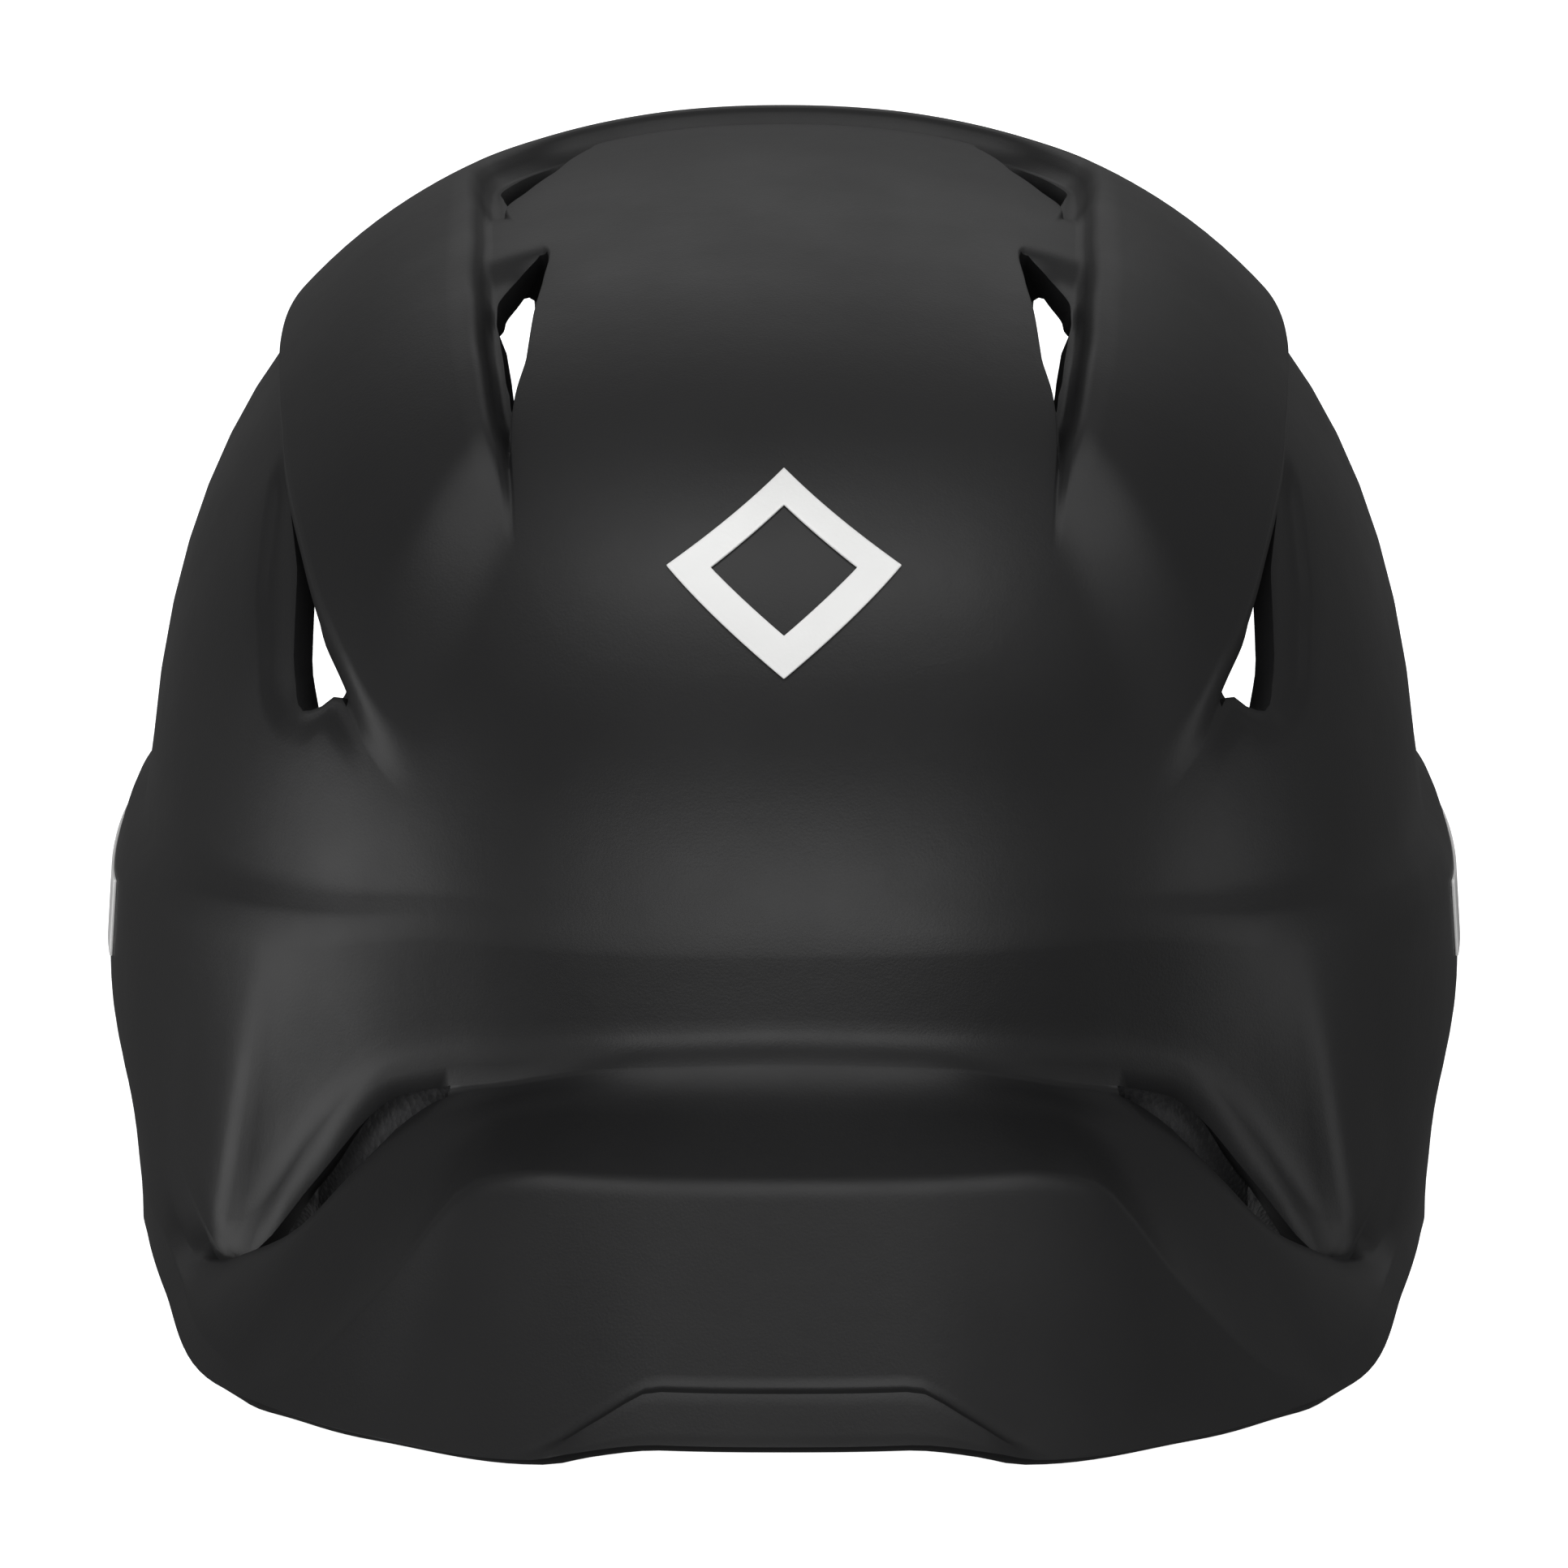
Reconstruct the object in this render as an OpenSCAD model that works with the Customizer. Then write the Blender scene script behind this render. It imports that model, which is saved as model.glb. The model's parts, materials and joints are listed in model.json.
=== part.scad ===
// Two-flap batting helmet: one moulded shell, foam liner pads, decals and small hardware.
// The brim points to -Y, the crown to +Z, and the helmet stands on its two ear flaps.

/* [Shell] */
// Half of the shell's width above the ears
half_width = 100; // [80:1:120]
// Crown axis to the front of the dome
front_length = 113; // [92:1:136]
// Crown axis to the back of the dome
rear_length = 115; // [95:1:138]
// Height of the crown above the widest level of the dome
dome_height = 115; // [95:1:138]
// Widest level of the dome above the ear hole's centre
dome_level = 27; // [22:1:33]
// How far the brim reaches past the front of the dome
brim_reach = 50; // [40:1:62]
// How far the ear flaps hang below the ear hole's centre
flap_drop = 58; // [48:1:70]
// Wall of the moulded shell
wall = 3.5; // [2.8:0.1:4.4]
// Diameter of each ear hole
ear_hole_d = 37; // [30:1:44]
// How far the raised shoulder panels stand above the dome
panel_raise = 3.5; // [2:0.5:5]
// How far the channels beside the centre panel sink below the dome
channel_depth = 1.5; // [0.5:0.5:2.5]

/* [Vents] */
// Width of the slots beside the centre panel
top_slot_w = 7; // [5:0.5:9]
// Width of the slots under the shoulder panels
side_slot_w = 5; // [4:0.5:7]
// Width of the slots at the back
rear_slot_w = 11; // [8:0.5:14]
// Width of the slots in the brim
brim_slot_w = 6; // [4:0.5:8]

/* [Padding] */
// Thickness of the crown and brow foam
crown_foam = 14; // [11:1:17]
// Thickness of the foam at the sides of the head
side_foam = 13; // [10:1:16]
// Thickness of the foam in the ear flaps
flap_foam = 15; // [12:1:18]
// Thickness of the fabric sweatband on the brow foam
sweatband_t = 1.6; // [1.2:0.1:2.4]
// Air gap between each soft piece and what it lies against
soft_gap = 0.5; // [0.4:0.1:0.8]

/* [Hardware] */
// Inside diameter of the jaw-guard inserts' thread
insert_bore_d = 5; // [4:0.5:6]
// Outside diameter of the inserts' barrels
insert_barrel_d = 8; // [7:0.5:10]
// Outside diameter of the inserts' flanges
insert_flange_d = 14; // [12:0.5:18]
// Length of an insert
insert_length = 6; // [5:0.5:8]
// Diameter of the chin-strap snap studs
snap_d = 12; // [10:0.5:15]
// How far the snap studs stand out of the shell
snap_height = 4; // [3:0.5:6]

/* [Trim] */
// Thickness of the stick-on marks
decal_t = 0.5; // [0.3:0.1:0.8]
// Width of the plain front mark across its points
emblem_w = 34; // [28:1:41]

/* [Hidden] */
$fn = 32;

// Shape of the dome: how square its plan and its side view are
plan_power = 2.2;
dome_power = 2.6;
brim_edge_z = 24;  // height of the brim's front edge above the ear hole's centre
flap_tuck = 12;    // how far the flaps' lower edges curve in
foot_trim = 1.5;   // what is cut off the flaps' feet to make them flat
around = 72;       // steps round the shell
ring_steps = [14, 4, 5, 6]; // rings on the dome, the brow wall, the brim root and the skirt

// The helmet stands with the ear flaps on z = 0 and its length centred on y = 0.
rear_extent = rear_length + decal_t;
origin_shift = [0, (front_length + brim_reach - rear_extent) / 2, flap_drop];

// Lines round the shell as [azimuth from the front, value]. The heights are above the
// ear hole's centre and the stand-outs are from the dome's plan.
// The brow line, which runs back into the top of the ear bulges
brow_z = [[0, 76], [24, 74], [40, 66], [56, 56.5], [72, 46], [85, 39], [100, 35],
    [115, 28], [130, 20], [150, 15], [180, 14]];
brow_out = [[0, 0], [24, 0.5], [40, 2], [56, 3.5], [72, 5], [90, 5.5], [110, 4.5],
    [130, 1.5], [150, 0], [180, 0]];
// The brim's root, which turns down round the brim slots, then the foot of the ear bulges
root_z = [[0, 54], [18, 52], [27, 48], [33, 41], [38, 29], [42, 17], [45, 12.5], [49, 12.5],
    [54, 16], [62, 20], [75, 19], [90, 18], [110, 14], [130, 8], [150, 5], [180, 3]];
root_out = [[0, -2], [25, -1], [33, 1], [38, 3.5], [42, 8], [45, 12], [49, 10.5], [54, 8],
    [62, 7], [80, 7.2], [100, 6.5], [120, 4], [140, 0.5], [180, 0]];
// The ridge of the brim's raised middle, which runs out to the edge on each side
ridge_z = [[0, 54], [14, 53], [19, 50], [24, 33], [28, 21], [32, 16.5], [38, 14], [44, 12],
    [50, 10], [56, 8], [65, 6], [78, 4], [90, 3], [110, 0], [130, -4], [180, -7]];
ridge_out = [[0, 20], [14, 20], [19, 22], [24, 32], [28, 38.5], [32, 36], [38, 29], [44, 20],
    [50, 14], [56, 10.5], [65, 6.5], [75, 3], [90, 1.8], [115, 0.8], [140, 0], [180, 0]];
// The lower edge: the brim's front, its corners, the ear flaps and the nape
edge_z = [[0, brim_edge_z], [12, brim_edge_z - 1], [22, brim_edge_z - 4], [29, 16.5],
    [36, 11.5], [45, 9], [55, 4], [62, -1], [67, -13], [72, -0.62 * flap_drop],
    [77, -0.9 * flap_drop], [82, -flap_drop - foot_trim], [103, -flap_drop - foot_trim],
    [109, -0.86 * flap_drop],
    [117, -40], [127, -29], [145, -21], [180, -17]];
edge_out = [[0, brim_reach], [12, brim_reach + 0.5], [22, brim_reach - 3],
    [29, brim_reach - 8], [36, brim_reach - 15.5], [45, 21.5], [55, 12], [62, 7.5],
    [70, 0], [80, -flap_tuck + 2], [90, -flap_tuck], [100, -flap_tuck], [112, -8],
    [125, -6], [145, -3], [180, -1]];

function clamp01(x) = min(1, max(0, x));
function ease(a, b, x) = let (u = clamp01((x - a) / (b - a))) u * u * (3 - 2 * u);

// A smooth curve through the stations of a line
function station(line, x, i = 0) =
    i >= len(line) - 2 || x <= line[i + 1][0] ? i : station(line, x, i + 1);
function rise(line, i) = (line[i + 1][1] - line[i][1]) / (line[i + 1][0] - line[i][0]);
function slope(line, i) =
    i == 0 || i == len(line) - 1 ? 0 :
    let (before = rise(line, i - 1), after = rise(line, i))
    before * after <= 0 ? 0 : 2 * before * after / (before + after);
function along(line, x) =
    let (i = station(line, x), h = line[i + 1][0] - line[i][0],
         t = clamp01((x - line[i][0]) / h))
    (2 * t ^ 3 - 3 * t ^ 2 + 1) * line[i][1] + (t ^ 3 - 2 * t ^ 2 + t) * h * slope(line, i)
    + (3 * t ^ 2 - 2 * t ^ 3) * line[i + 1][1] + (t ^ 3 - t ^ 2) * h * slope(line, i + 1);

// Radius of the dome's plan at an azimuth, and a point of the dome at an angle from the crown
function plan_radius(azimuth) =
    let (reach = cos(azimuth) > 0 ? front_length : rear_length)
    ((abs(sin(azimuth)) / half_width) ^ plan_power
     + (abs(cos(azimuth)) / reach) ^ plan_power) ^ (-1 / plan_power);
function dome_point(radius, tilt) =
    [radius * sin(tilt) ^ (2 / dome_power),
     dome_level + dome_height * cos(tilt) ^ (2 / dome_power)];
function tilt_at(z) = acos(clamp01((z - dome_level) / dome_height) ^ (dome_power / 2));

// The five key points [radius, height] of the shell's profile at an azimuth,
// then the tilt of the brow line
function key_points(azimuth) =
    let (radius = plan_radius(azimuth),
         brow_tilt = tilt_at(along(brow_z, azimuth)),
         brow = dome_point(radius, brow_tilt))
    [brow + [along(brow_out, azimuth), 0],
     [radius + along(root_out, azimuth), along(root_z, azimuth)],
     [radius + along(ridge_out, azimuth), along(ridge_z, azimuth)],
     [radius + along(edge_out, azimuth), along(edge_z, azimuth)],
     radius, brow_tilt];

// The profile runs over the dome from t = 0 at the crown to t = 1 at the brow line, then
// down the brow wall to 2, over the brim's root to 3 and down to the edge at 4.
function sharp_profile(keys, t) =
    t < 1 ? dome_point(keys[4], keys[5] * t)
        + [(keys[0][0] - dome_point(keys[4], keys[5])[0]) * ease(0.93, 1, t), 0] :
    let (i = min(2, floor(t - 1)), u = t - 1 - i)
    keys[i] + (keys[i + 1] - keys[i]) * u;
// Rounding at the three inner key points: how far it starts before and ends after
round_start = [0.03, 0.35, 0.3];
round_end = [0.15, 0.35, 0.15];
function profile(keys, t) =
    let (i = round(t))
    i < 1 || i > 3 || t < i - round_start[i - 1] || t > i + round_end[i - 1]
    ? sharp_profile(keys, t) :
    let (a = sharp_profile(keys, i - round_start[i - 1]), b = keys[i - 1],
         c = sharp_profile(keys, i + round_end[i - 1]),
         u = (t - i + round_start[i - 1]) / (round_start[i - 1] + round_end[i - 1]))
    (1 - u) ^ 2 * a + 2 * u * (1 - u) * b + u ^ 2 * c;

function swing(azimuth, p) = [p[0] * sin(azimuth), -p[0] * cos(azimuth), p[1]];
function fold(azimuth) = abs(azimuth) > 180 ? 360 - abs(azimuth) : abs(azimuth);
function skin(azimuth, t) = swing(azimuth, profile(key_points(fold(azimuth)), t));

function unit(v) = v / norm(v);
function outward(azimuth, t) =
    let (da = 0.5, dt = 0.02, low = max(0.04, t - dt), high = min(4, t + dt),
         across = skin(azimuth + da, min(4, max(0.04, t)))
                - skin(azimuth - da, min(4, max(0.04, t))),
         down = skin(azimuth, high) - skin(azimuth, low))
    unit(cross(down, across));
function inside(azimuth, t, depth) = skin(azimuth, t) - outward(azimuth, t) * depth;

// Lines over the dome as [azimuth, share of the plan's radius]: the centre panel's edge, and
// the inner and outer edges of the raised panel that runs over both shoulders and the back
centre_line = [[0, 0.8], [18, 0.795], [28, 0.72], [34, 0.638], [44, 0.52], [60, 0.415],
    [80, 0.365], [95, 0.37], [108, 0.42], [118, 0.462], [130, 0.475], [142, 0.515],
    [153, 0.545], [165, 0.53], [180, 0.52]];
inner_line = [[0, 0.86], [18, 0.85], [28, 0.745], [33, 0.665], [38, 0.61], [54, 0.517],
    [73, 0.472], [92, 0.465], [110, 0.486], [125, 0.545], [139, 0.625], [147, 0.635],
    [156, 0.62], [168, 0.6], [180, 0.595]];
outer_line = [[0, 0.93], [24, 0.91], [35, 0.888], [39, 0.874], [45, 0.848], [53, 0.815],
    [62, 0.78], [74, 0.753], [90, 0.748], [106, 0.765], [125, 0.8], [145, 0.84],
    [165, 0.865], [180, 0.87]];
function share_at(keys, t) = sin(keys[5] * min(1, t)) ^ (2 / dome_power);
function t_at(azimuth, share) =
    asin(share ^ (dome_power / 2)) / key_points(fold(azimuth))[5];
function panel_height(azimuth, share) =
    let (a = fold(azimuth), fade = ease(30, 44, a),
         inner = along(inner_line, a), outer = along(outer_line, a))
    fade * (panel_raise * ease(-0.03, 0.01, share - inner) * (1 - ease(-0.01, 0.02, share - outer))
        - channel_depth * ease(-0.01, 0.02, share - along(centre_line, a))
            * (1 - ease(-0.03, 0.0, share - inner)));

// A closed body between two stacks of rings, ring by ring
function ring_faces(rings, n) = [for (i = [0 : rings - 2], j = [0 : n - 1])
    let (a = i * n + j, b = i * n + (j + 1) % n)
    each [[a, b, a + n], [b, b + n, a + n]]];
function t_rows() = [for (part = [0 : 3], k = [1 : ring_steps[part]])
    part + k / ring_steps[part]];

module shell_blank() {
    rows = t_rows();
    azimuths = [for (j = [0 : around - 1]) 360 / around * j - 180];
    keys = [for (a = azimuths) key_points(fold(a))];
    base = [for (t = rows) [for (j = [0 : around - 1])
        swing(azimuths[j], profile(keys[j], t))]];
    count = len(rows);
    normal = [for (i = [0 : count - 1]) [for (j = [0 : around - 1])
        unit(cross(base[min(count - 1, i + 1)][j] - base[max(0, i - 1)][j],
                   base[i][(j + 1) % around] - base[i][(j + around - 1) % around]))]];
    crown = [0, 0, dome_level + dome_height];
    outer = [for (i = [0 : count - 1], j = [0 : around - 1])
        base[i][j] + normal[i][j] * (rows[i] > 1 ? 0
            : panel_height(azimuths[j], share_at(keys[j], rows[i])))];
    inner = [for (i = [count - 1 : -1 : 0], j = [0 : around - 1])
        base[i][j] - normal[i][j] * wall];
    all = 2 * count * around;
    polyhedron(points = concat(outer, inner, [crown, crown - [0, 0, wall]]),
        faces = concat(ring_faces(2 * count, around),
            [for (j = [0 : around - 1]) [all, (j + 1) % around, j]],
            [for (j = [0 : around - 1]) let (last = all - around)
                [all + 1, last + j, last + (j + 1) % around]]));
}

// Stand something on the shell, its own z pointing out
module on_skin(azimuth, t, depth = 0) {
    n = outward(azimuth, t);
    translate(skin(azimuth, t) - n * depth)
        rotate([0, acos(n[2]), atan2(n[1], n[0])]) children();
}
// A slot through the shell between places [azimuth, t], tapering to its last place
module slot(places, width) {
    hull() for (i = [0 : len(places) - 1])
        on_skin(places[i][0], places[i][1])
            cylinder(h = 6 * wall, d = i == 0 ? width : width * 0.7, center = true, $fn = 12);
}
// Every vent on the right side, as [places, width]
function over(azimuth, share) = [azimuth, t_at(azimuth, share)];
vents = [
    [[over(66, 0.43), over(79, 0.385)], top_slot_w],
    [[over(64, 0.43), over(46, 0.515)], top_slot_w],
    [[over(138, 0.53), over(120, 0.475)], top_slot_w * 0.8],
    [[over(138, 0.53), over(150, 0.565)], top_slot_w * 0.8],
    [[over(52, 0.838), over(63, 0.795)], side_slot_w],
    [[over(52, 0.838), over(43, 0.868)], side_slot_w],
    [[[34, 2.05], [27, 2.05]], brim_slot_w],
    [[[34, 2.05], [41, 2.05]], brim_slot_w],
    [[[154, 0.73], [156, 0.84]], rear_slot_w],
    [[[132, 0.95], [135, 1.18]], rear_slot_w]];

module ear_hole(side) {
    translate([side * half_width, 0, 0]) rotate([0, 90, 0])
        cylinder(h = half_width, d = ear_hole_d, center = true, $fn = 48);
}

// Places of the hardware on the right side, as [azimuth, t]
insert_places = [[71, 3.35], [76, 3.72]];
snap_place = [113, 3.3];
// Small parts of the hardware
snap_shank_d = snap_d / 3;
snap_base_h = snap_height * 0.35;
washer_t = 1.2;
hole_clearance = 0.2;
// Room between a flat flange and the curved wall that it lies against
flange_gap = 0.35;

module shell() {
    color([0.07, 0.07, 0.075]) translate(origin_shift) difference() {
        shell_blank();
        for (side = [-1, 1]) {
            ear_hole(side);
            for (vent = vents)
                slot([for (p = vent[0]) [side * p[0], p[1]]], vent[1]);
            for (p = insert_places) on_skin(side * p[0], p[1])
                cylinder(h = 4 * wall, d = insert_barrel_d + 2 * hole_clearance, center = true);
            on_skin(side * snap_place[0], snap_place[1])
                cylinder(h = 4 * wall, d = snap_shank_d + 2 * hole_clearance, center = true);
        }
        // The flaps' feet are trimmed flat, so that the helmet stands on them
        translate([-2 * half_width, -half_width, -flap_drop - 10])
            cube([4 * half_width, 2 * half_width, 10]);
    }
}

// A patch of the shell's form between two depths, with a thinned, rounded rim
function patch_points(from, to, near, far, n, m, bevel) =
    [for (i = [0 : m], j = [0 : n])
        let (u = j / n, v = i / m,
             azimuth = from[0] + (to[0] - from[0]) * u,
             t = from[1] + (to[1] - from[1]) * v,
             edge = min(min(u, 1 - u) * n, min(v, 1 - v) * m),
             depth = edge < 0.5 ? near + (far - near) * bevel : far)
        inside(azimuth, t, depth)];
module patch(from, to, near, far, n = 8, m = 6, bevel = 0.55) {
    w = n + 1;
    count = w * (m + 1);
    top = patch_points(from, to, near, near, n, m, bevel);
    under = patch_points(from, to, near, far, n, m, bevel);
    rim = concat([for (j = [0 : n - 1]) j], [for (i = [0 : m - 1]) i * w + n],
        [for (j = [n : -1 : 1]) m * w + j], [for (i = [m : -1 : 1]) i * w]);
    polyhedron(points = concat(top, under),
        faces = concat(
            [for (i = [0 : m - 1], j = [0 : n - 1]) let (a = i * w + j)
                each [[a, a + 1, a + w], [a + 1, a + w + 1, a + w]]],
            [for (i = [0 : m - 1], j = [0 : n - 1]) let (a = count + i * w + j)
                each [[a, a + w, a + 1], [a + 1, a + w, a + w + 1]]],
            [for (k = [0 : len(rim) - 1])
                let (a = rim[k], b = rim[(k + 1) % len(rim)])
                each [[a, count + a, b], [b, count + a, count + b]]]));
}
foam_top = wall + soft_gap;
module foam(from, to, thickness, n = 8, m = 6) {
    color([0.16, 0.16, 0.17]) translate(origin_shift)
        patch(from, to, foam_top, foam_top + thickness, n, m);
}

// The brow pad curls a little under the brim's root, behind the brim slots
module brow_pad() { foam([-41, 0.8], [41, 2.14], crown_foam, 16, 9); }
module sweatband() {
    near = foam_top + crown_foam + soft_gap;
    color([0.1, 0.1, 0.1]) translate(origin_shift)
        patch([-36, 0.86], [36, 1.8], near, near + sweatband_t, 16, 6, 0.9);
}
module crown_pad_front() { foam([-23, 0.4], [23, 0.74], crown_foam); }
// The centre pad is a ring-shaped bun of foam under the crown
module crown_pad_center() {
    color([0.16, 0.16, 0.17]) translate(origin_shift)
        bun(0.06, 0.18, foam_top, foam_top + crown_foam, 30, 4);
}
// A round closed pad about the crown's axis, from a small ring out to its rim
module bun(from_t, to_t, near, far, n, m) {
    function row(i, depth) = let (t = from_t + (to_t - from_t) * i / m)
        [for (j = [0 : n - 1]) inside(360 / n * j - 180, t, depth)];
    rows = [for (i = [0 : m]) each row(i, near)];
    under = [for (i = [m : -1 : 0]) each row(i, i == m ? (near + far) / 2 : far)];
    count = 2 * (m + 1);
    polyhedron(points = concat(rows, under),
        faces = concat(ring_faces(count, n), ring_faces_closing(count, n)));
}
function ring_faces_closing(rings, n) = [for (j = [0 : n - 1])
    let (a = (rings - 1) * n + j, b = (rings - 1) * n + (j + 1) % n, c = j, d = (j + 1) % n)
    each [[a, b, c], [b, d, c]]];
module crown_pad_rear() { foam([157, 0.38], [203, 0.68], crown_foam); }

module foam_side(side, from, to, thickness, n = 8, m = 6) {
    if (side > 0) foam(from, to, thickness, n, m);
    else mirror([1, 0, 0]) foam(from, to, thickness, n, m);
}
module upper_side_pad(side) { foam_side(side, [66, 0.42], [112, 0.68], side_foam); }
module temple_pad(side) { foam_side(side, [42, 0.93], [78, 2.08], side_foam, 9, 7); }
module rear_side_pad(side) { foam_side(side, [110, 1], [128, 1.9], side_foam); }
module nape_pad() { foam([150, 1.1], [210, 3.2], side_foam, 12, 6); }

// The ear pad leaves a round pocket for the ear about the ear hole
ear_pocket_d = ear_hole_d + 8;
module with_ear_pocket(side) {
    difference() {
        children();
        translate(origin_shift + [side * half_width, 0, 0]) rotate([0, 90, 0])
            cylinder(h = half_width, d = ear_pocket_d, center = true, $fn = 48);
    }
}
module ear_pad(side) {
    with_ear_pocket(side) foam_side(side, [80, 1.95], [109, 3.5], flap_foam, 10, 8);
}
module jaw_pad(side) {
    with_ear_pocket(side) foam_side(side, [80, 3.54], [106, 3.94], flap_foam);
}

// A barrel with a flange behind the wall, its outer end flush with the shell
flange_t = 1.5;
module insert() {
    difference() {
        union() {
            translate([0, 0, -insert_length]) cylinder(h = insert_length, d = insert_barrel_d);
            translate([0, 0, -wall - flange_gap - flange_t])
                cylinder(h = flange_t, d = insert_flange_d);
        }
        translate([0, 0, -insert_length - 1])
            cylinder(h = insert_length + 2, d = insert_bore_d);
    }
}
module jaw_guard_inserts() {
    color([0.55, 0.55, 0.57]) translate(origin_shift) for (side = [-1, 1])
        for (p = insert_places) on_skin(side * p[0], p[1]) insert();
}

// A snap stud: base, neck, round bead, and a shank through the wall
module snap_stud() {
    shank_end = wall + flange_gap + washer_t + 0.4;
    rotate_extrude() polygon([[0, -shank_end], [snap_shank_d / 2, -shank_end],
        [snap_shank_d / 2, 0.05], [snap_d / 2, 0.05], [snap_d / 2, snap_base_h * 0.6],
        [snap_d * 0.42, snap_base_h], [snap_d * 0.2, snap_base_h],
        [snap_d * 0.2, snap_height * 0.6], [snap_d * 0.26, snap_height * 0.75],
        [snap_d * 0.22, snap_height * 0.95], [snap_d * 0.1, snap_height], [0, snap_height]]);
}
module chin_snap(side) {
    color([0.5, 0.5, 0.52]) translate(origin_shift)
        on_skin(side * snap_place[0], snap_place[1]) snap_stud();
}
module chin_snap_washers() {
    color([0.5, 0.5, 0.52]) translate(origin_shift) for (side = [-1, 1])
        on_skin(side * snap_place[0], snap_place[1])
            translate([0, 0, -wall - flange_gap - washer_t]) difference() {
                cylinder(h = washer_t, d = snap_d);
                translate([0, 0, -1]) cylinder(h = washer_t + 2, d = snap_shank_d + 0.1);
            }
}

// Stick-on marks: thin patches of the shell's own form, just clear of its outside
decal_gap = 0.03;
module decal(from, to, n, m, paint) {
    color(paint) translate(origin_shift)
        patch(from, to, -decal_gap - decal_t, -decal_gap, n, m, 1);
}
module side_decal_right() { decal([77.5, 1.06], [98, 1.62], 7, 3, "white"); }
module side_decal_left() { decal([-98, 1.06], [-77.5, 1.62], 7, 3, "white"); }
module rear_label() { decal([171, 1.25], [189, 2.6], 6, 4, [0.8, 0.8, 0.8]); }
// The front mark is a plain open diamond
emblem_t = 0.54;
emblem_line = 0.62; // its inner diamond as a share of its outer one
module front_emblem() {
    centre = skin(0, emblem_t);
    turn = emblem_w / 2 / (PI * abs(centre[1]) / 180);
    drop = emblem_w / 2 / norm(skin(0, emblem_t + 0.5) - skin(0, emblem_t)) / 2;
    n = 6;
    function corner(k) = [[0, -1], [1, 0], [0, 1], [-1, 0]][k % 4];
    function ring(scale, depth) = [for (k = [0 : 3], i = [0 : n - 1])
        let (p = (corner(k) * (n - i) + corner(k + 1) * i) / n * scale)
        inside(p[0] * turn, emblem_t + p[1] * drop, depth)];
    count = 4 * n;
    near = -decal_gap - decal_t;
    mid = (1 + emblem_line) / 2;
    color("white") translate(origin_shift) polyhedron(
        points = concat(ring(emblem_line, -decal_gap), ring(mid, -decal_gap),
            ring(1, -decal_gap), ring(1, near), ring(mid, near), ring(emblem_line, near)),
        faces = concat(ring_faces(6, count), ring_faces_closing(6, count)));
}

shell();
front_emblem();
side_decal_left();
side_decal_right();
rear_label();
brow_pad();
sweatband();
crown_pad_front();
crown_pad_center();
crown_pad_rear();
upper_side_pad(-1);  // upper_side_pad_left
upper_side_pad(1);  // upper_side_pad_right
temple_pad(-1);  // temple_pad_left
temple_pad(1);  // temple_pad_right
rear_side_pad(-1);  // rear_side_pad_left
rear_side_pad(1);  // rear_side_pad_right
nape_pad();
ear_pad(-1);  // ear_pad_left
ear_pad(1);  // ear_pad_right
jaw_pad(-1);  // jaw_pad_left
jaw_pad(1);  // jaw_pad_right
jaw_guard_inserts();
chin_snap(-1);  // chin_snap_left
chin_snap(1);  // chin_snap_right
chin_snap_washers();
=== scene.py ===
# %% [markdown]
# # A two-flap batting helmet
# The helmet is one moulded shell with foam pads glued inside it and a little hardware on
# the ear flaps. The solid model gives the size and the place of every part. These cells
# build the surfaces that are seen: the shell with its panels and vents, the pads, the
# marks and the metal. The first cell loads the solid model as a fixed frame, and every
# piece made later takes its place from it.

# %% Load the fixed frame
import json
import math

import bmesh
import bpy
import numpy as np
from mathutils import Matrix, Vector
from mathutils.bvhtree import BVHTree


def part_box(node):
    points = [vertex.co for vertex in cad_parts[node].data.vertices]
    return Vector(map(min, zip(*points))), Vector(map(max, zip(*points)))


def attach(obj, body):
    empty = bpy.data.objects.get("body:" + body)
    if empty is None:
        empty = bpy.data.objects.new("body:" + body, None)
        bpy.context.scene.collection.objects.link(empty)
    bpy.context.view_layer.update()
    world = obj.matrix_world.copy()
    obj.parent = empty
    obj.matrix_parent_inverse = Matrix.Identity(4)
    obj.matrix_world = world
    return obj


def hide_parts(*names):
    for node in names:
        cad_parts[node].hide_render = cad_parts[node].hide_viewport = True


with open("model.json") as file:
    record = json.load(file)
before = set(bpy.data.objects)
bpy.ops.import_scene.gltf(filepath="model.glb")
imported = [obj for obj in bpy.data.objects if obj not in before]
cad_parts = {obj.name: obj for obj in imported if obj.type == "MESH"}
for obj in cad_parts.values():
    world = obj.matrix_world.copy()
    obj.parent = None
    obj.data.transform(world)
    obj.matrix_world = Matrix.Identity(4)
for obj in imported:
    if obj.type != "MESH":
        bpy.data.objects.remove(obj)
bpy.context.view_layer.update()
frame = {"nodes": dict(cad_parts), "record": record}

MM = 0.001

# %% [markdown]
# ## The camera
# A long lens from well back keeps the helmet's proportions natural. It looks straight at
# the brow from 28 degrees above, at a point on the helmet's middle plane.

# %% Camera
def make_camera(target, elevation, distance, lens):
    data = bpy.data.cameras.new("camera")
    data.lens = lens
    data.sensor_width = 36.0
    data.clip_start, data.clip_end = 0.05, 30.0
    camera = bpy.data.objects.new("camera", data)
    bpy.context.scene.collection.objects.link(camera)
    tilt = math.radians(elevation)
    camera.location = target + Vector((0, -math.cos(tilt), math.sin(tilt))) * distance
    camera.rotation_euler = (math.pi / 2 - tilt, 0, 0)
    bpy.context.scene.camera = camera
    return camera


shell_low, shell_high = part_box("shell")
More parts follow.
